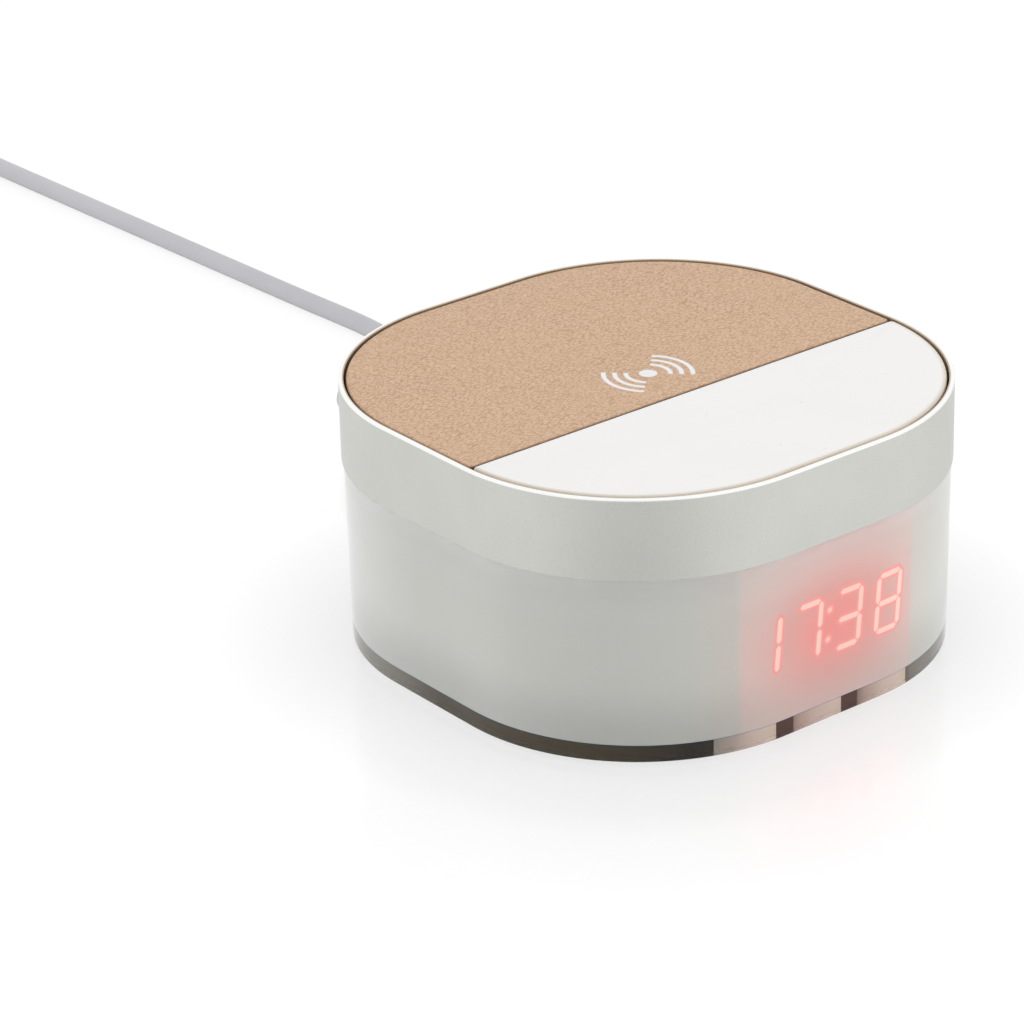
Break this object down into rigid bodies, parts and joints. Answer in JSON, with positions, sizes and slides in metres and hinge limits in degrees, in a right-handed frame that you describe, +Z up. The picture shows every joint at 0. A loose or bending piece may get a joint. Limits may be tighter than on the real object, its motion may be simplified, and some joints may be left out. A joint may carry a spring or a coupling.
{
  "type": "wireless charging clock",
  "caption": "Rounded square table clock with a charging pad on top, a light digit display behind a frosted clear body, base buttons and a supply cable.",
  "frame": {"origin": "centre of the case's footprint, on the table under the feet", "axes": "+Z up, +X to the right seen from the display, the display faces -Y and the cable leaves towards +Y"},
  "size_m": [0.0914, 0.3699, 0.0453],
  "materials": {
    "silver_ring": "fine satin silver",
    "black_plastic": "moulded matt black",
    "leather": "fine pebbled grain, tan",
    "white_plate": "smooth satin white",
    "clear_acrylic": "polished clear",
    "frosted_liner": "frosted, lets light through",
    "foot_rubber": "matt",
    "screw_steel": "plated",
    "plated_steel": "bright plated",
    "segment_light": "lit diffuser",
    "circuit_board": "solder mask",
    "white_connector": "moulded",
    "ferrite": "sintered, dark grey",
    "copper_wire": "enamelled copper",
    "cable_sheath": "smooth soft plastic, pale grey",
    "tie_fabric": "woven hook and loop"
  },
  "bodies": {
    "case": {"top_ring": "silver_ring", "top_carrier": "black_plastic", "leather_pad": "leather", "front_plate": "white_plate", "clear_sleeve": "clear_acrylic", "diffuser_liner": "frosted_liner", "base_tray": "black_plastic", "foot_1": "foot_rubber", "foot_2": "foot_rubber", "foot_3": "foot_rubber", "foot_4": "foot_rubber", "base_screw_1": "screw_steel", "base_screw_2": "screw_steel", "base_screw_3": "screw_steel", "base_screw_4": "screw_steel", "display_frame": "white_plate", "display_housing": "black_plastic", "segment_lens": "segment_light", "display_board": "circuit_board", "display_screw_1": "screw_steel", "display_screw_2": "screw_steel", "display_connector": "white_connector", "display_ribbon": "white_connector", "main_board": "circuit_board", "board_screw_1": "screw_steel", "board_screw_2": "screw_steel", "board_connector": "white_connector", "inlet_socket": "plated_steel", "charger_chip": "black_plastic", "clock_chip": "black_plastic", "power_inductor": "ferrite", "smoothing_capacitor": "plated_steel", "switch_housing_1": "plated_steel", "switch_housing_2": "plated_steel", "switch_housing_3": "plated_steel", "coil_shield": "ferrite", "charging_coil": "copper_wire", "coil_lead_inner": "copper_wire", "coil_lead_outer": "copper_wire", "inlet_plug_shell": "plated_steel", "inlet_plug_body": "cable_sheath", "inlet_plug_relief": "cable_sheath", "cable_run": "cable_sheath", "cable_coil": "cable_sheath", "coil_tie": "tie_fabric", "cable_tail": "cable_sheath", "supply_plug_relief": "cable_sheath", "supply_plug_body": "cable_sheath", "supply_plug_shell": "plated_steel"},
    "set_key": {"set_button": "black_plastic", "switch_plunger_1": "black_plastic"},
    "up_key": {"up_button": "black_plastic", "switch_plunger_2": "black_plastic"},
    "down_key": {"down_button": "black_plastic", "switch_plunger_3": "black_plastic"}
  },
  "joints": [
    {"name": "set_press", "type": "slide", "parent": "case", "child": "set_key", "axis": [0, 0, 1], "range_m": [0, 0.0004], "stiffness_N_per_m": 1500},
    {"name": "up_press", "type": "slide", "parent": "case", "child": "up_key", "axis": [0, 0, 1], "range_m": [0, 0.0004], "stiffness_N_per_m": 1500},
    {"name": "down_press", "type": "slide", "parent": "case", "child": "down_key", "axis": [0, 0, 1], "range_m": [0, 0.0004], "stiffness_N_per_m": 1500}
  ]
}
